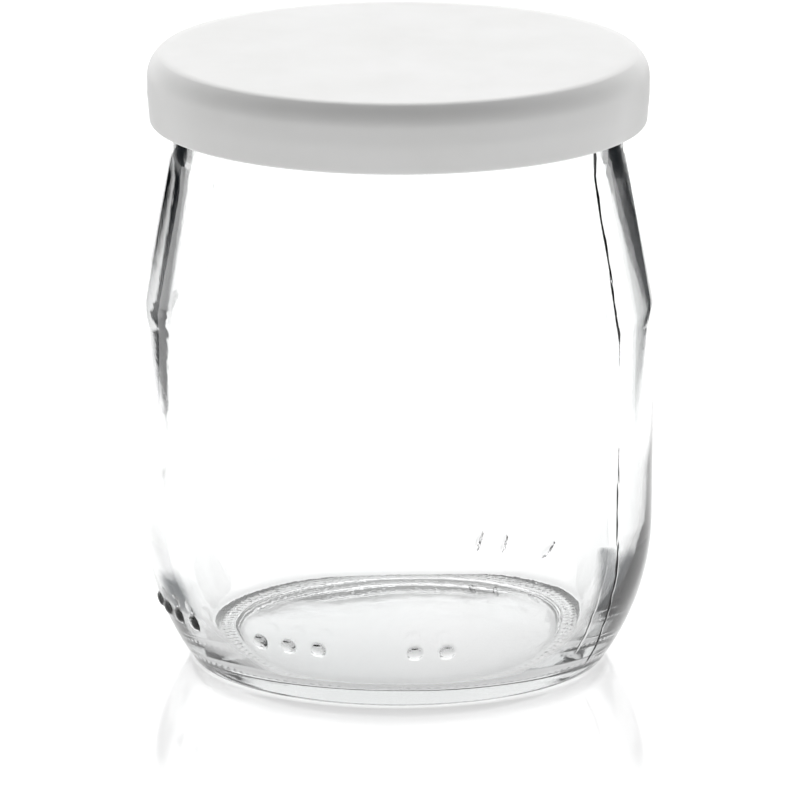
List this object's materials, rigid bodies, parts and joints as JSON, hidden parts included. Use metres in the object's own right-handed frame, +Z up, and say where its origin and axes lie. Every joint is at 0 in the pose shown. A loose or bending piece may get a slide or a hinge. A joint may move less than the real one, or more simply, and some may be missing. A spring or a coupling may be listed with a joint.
{
  "type": "yogurt maker jar",
  "caption": "Clear glass yogurt-maker jar with a round heel, tapered shoulder and raised marks round the heel, closed by a white push-on plastic lid that lifts off.",
  "frame": {"origin": "centre of the jar's foot, on the surface that it stands on", "axes": "+Z up along the jar's axis; -Y is the front, the side that the picture shows"},
  "size_m": [0.0706, 0.0706, 0.0851],
  "materials": {
    "clear_glass": "clear, fire polished",
    "white_plastic": "satin"
  },
  "bodies": {
    "jar": {"glass_jar": "clear_glass"},
    "lid": {"lid": "white_plastic"}
  },
  "joints": [
    {"name": "lid_lift", "type": "slide", "parent": "jar", "child": "lid", "axis": [0, 0, 1], "range_m": [0, 0.016]}
  ]
}
